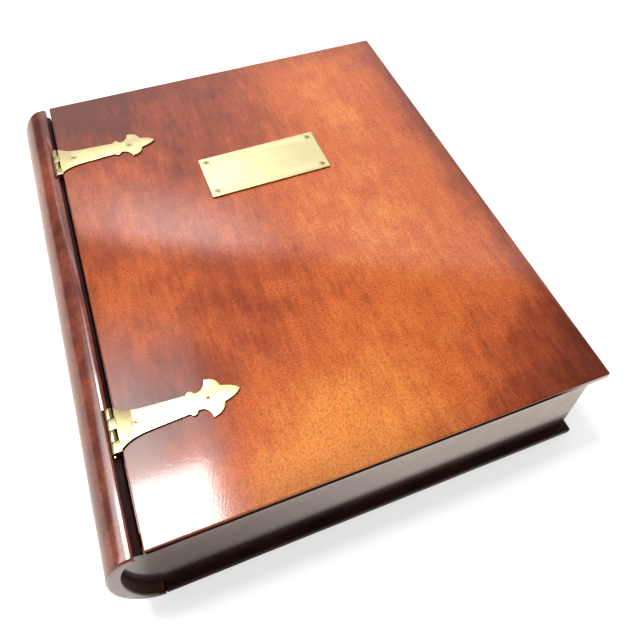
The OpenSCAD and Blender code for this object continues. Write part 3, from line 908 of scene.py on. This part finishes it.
def add_name_plate():
    """The blank plate: a rectangle with tiny round corners, turned a little, pierced near its corners by
    four screws.
    """
    half_x, half_y = PLATE_HALF
    middle = (plate_low[:2] + plate_high[:2]) / 2
    cos, sin = math.cos(PLATE_TURN), math.sin(PLATE_TURN)
    turn = np.array([[cos, sin], [-sin, cos]])
    line = round_rectangle_ring(-half_x, half_x, -half_y, half_y, 0.0, 0.5 * MM, per_side=24, per_corner=5)
    line = line @ turn + middle
    spots = [np.array([sx * (half_x - PLATE_INSET), sy * (half_y - PLATE_INSET)]) @ turn + middle
             for sx in (-1, 1) for sy in (-1, 1)]
    plate = Parts()
    pierced_plate(plate, line, spots, float(plate_low[2]), PLATE_TOP, 0.25 * MM)
    piece = plate.build("blank_plate")
    put_material(piece, PLATE_BRASS)
    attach(piece, "lid")
    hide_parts("name_plate")
    screws = Parts()
    for k, spot in enumerate(spots):
        countersunk_screw(screws, (*spot, PLATE_TOP), spin=20 + 37 * k)
    piece = screws.build("plate_screw_heads", crease_deg=30)
    put_material(piece, SCREW_BRASS)
    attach(piece, "lid")
    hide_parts("name_plate_screws")


add_name_plate()


# Floor, room and lamp

def add_floor():
    """A pale floor. Its own light brings it to white for the camera and leaves the shadow. For reflections it
    glows unevenly, a painted reflection: bright far to the left and before the tail, with a dimmer strip
    under the spine and a slow rise to the right, and a quarter as bright behind the tail's line, a painted
    shadow where the box stands. In reflections its colour is also darker and warmer.
    """
    side = 6.0
    mesh = bpy.data.meshes.new("floor")
    corners = [(-side, -side, 0), (side, -side, 0), (side, side, 0), (-side, side, 0)]
    mesh.from_pydata(corners, [], [(0, 1, 2, 3)])
    floor = bpy.data.objects.new("floor", mesh)
    bpy.context.scene.collection.objects.link(floor)
    floor.location.z = -0.0002
    m = Material("pale_floor")
    place = m.place()
    rays = m.node("ShaderNodeLightPath").outputs
    glossy = rays["Is Glossy Ray"]
    seen = m.math("MAXIMUM", rays["Is Camera Ray"], glossy)
    across, along, _ = m.split(place)
    # painted reflection: the floor's glow for glossy rays, brighter and dimmer by place
    bright = m.ramp(across, -0.110, 0.050, 0.28, 1.15)
    bright = m.math("MAXIMUM", bright, m.ramp(across, -0.130, -0.112, 0.74, 0.0))
    bright = m.math("MAXIMUM", bright, m.ramp(across, -0.150, -0.134, 1.15, 0.0))
    before_tail = m.math("MULTIPLY", m.ramp(along, -0.1765, -0.1730, 0.9, 0.0),
                         m.ramp(across, -0.112, -0.100))
    bright = m.math("ADD", bright, before_tail)
    # painted shadow: behind the tail's line the mirrored floor is a quarter as bright
    bright = m.math("MULTIPLY", bright, m.ramp(along, -0.1635, -0.1612, 1.0, 0.25))
    # painted reflection: a warmer glow, and a darker, warmer floor colour, in reflections only
    warm = m.mix(m.math("MULTIPLY", glossy, m.ramp(across, -0.125, -0.100, 0.25, 1.0)),
                 (1.0, 1.0, 1.0), (1.0, 0.88, 0.80))
    plain = 0.52
    strength = m.math("ADD", m.math("MULTIPLY", glossy, m.math("SUBTRACT", bright, plain)), plain)
    put_material(floor, m.finish({
        "Base Color": m.mix(glossy, (0.86, 0.86, 0.86), (0.58, 0.47, 0.40)), "Roughness": 0.9,
        "Specular IOR Level": 0.2, "Emission Color": warm,
        "Emission Strength": m.math("MULTIPLY", seen, strength)}))


def add_room():
    """A plain studio room: even dim light, and white for the camera. Reflections see a dark room with a
    bright wall beyond the plane that the photo's haze ends at, its glare strongest near that plane, and a
    lit patch above.
    """
    world = bpy.data.worlds.new("room")
    bpy.context.scene.world = world
    world.use_nodes = True
    world.node_tree.nodes.clear()
    w = Nodes(world.node_tree)
    place = w.node("ShaderNodeTexCoord").outputs["Generated"]
    beyond = w.node("ShaderNodeVectorMath", {0: place, 1: (0.357, 0.679, -0.6415)},
                    operation="DOT_PRODUCT").outputs["Value"]
    x, y, z = w.split(place)
    rays = w.node("ShaderNodeLightPath").outputs
    wall = w.math("MULTIPLY", w.ramp(beyond, -0.012, 0.008), w.ramp(x, -0.34, -0.12))
    glare = w.math("MULTIPLY", w.ramp(beyond, 0.008, 0.10, 1.0, 0.0), w.ramp(x, 0.05, 0.20, 1.0, 0.12))
    glare = w.math("MULTIPLY", glare, w.ramp(x, -0.10, -0.01, 0.4, 1.0))
    lit = w.mix(glare, (0.92, 0.92, 0.93), (5.6, 5.6, 5.8))
    mirrored = w.mix(wall, (0.08, 0.08, 0.08), lit)
    rise = w.math("MAXIMUM", z, 0.05)
    lean = w.math("DIVIDE", x, rise)
    slope = w.math("DIVIDE", y, rise)
    ahead = w.math("MULTIPLY", w.ramp(slope, 0.44, 0.86, 1.0, 0.0), w.ramp(slope, 0.10, 0.26))
    aside = w.math("MULTIPLY", w.ramp(lean, -0.15, -0.08, 1.0, 0.55), w.ramp(lean, -0.05, 0.01, 1.0, 0.0))
    above = w.math("MULTIPLY", ahead, aside)
    mirrored = w.mix(above, mirrored, (8.5, 8.5, 8.5))
    colour = w.mix(rays["Is Glossy Ray"], (0.50, 0.50, 0.51), mirrored)
    colour = w.mix(rays["Is Camera Ray"], colour, (1.0, 1.0, 1.0))
    shine = w.node("ShaderNodeBackground", {"Color": colour, "Strength": 1.0})
    w.node("ShaderNodeOutputWorld", {"Surface": shine.outputs[0]})


def add_window():
    """A window's light from above the far left, as a flat lamp that shines straight down."""
    data = bpy.data.lights.new("window", "AREA")
    data.shape = "RECTANGLE"
    data.size = 0.61
    data.size_y = 0.52
    data.energy = 21.0
    lamp = bpy.data.objects.new("window", data)
    place = Vector((-0.443, 0.290, 1.572))
    gaze = Vector((-0.443, 0.290, 0.0)) - place
    lamp.matrix_world = Matrix.Translation(place) @ gaze.to_track_quat("-Z", "Y").to_matrix().to_4x4()
    bpy.context.scene.collection.objects.link(lamp)


add_floor()
add_room()
add_window()

bpy.context.scene.view_settings.view_transform = "Standard"
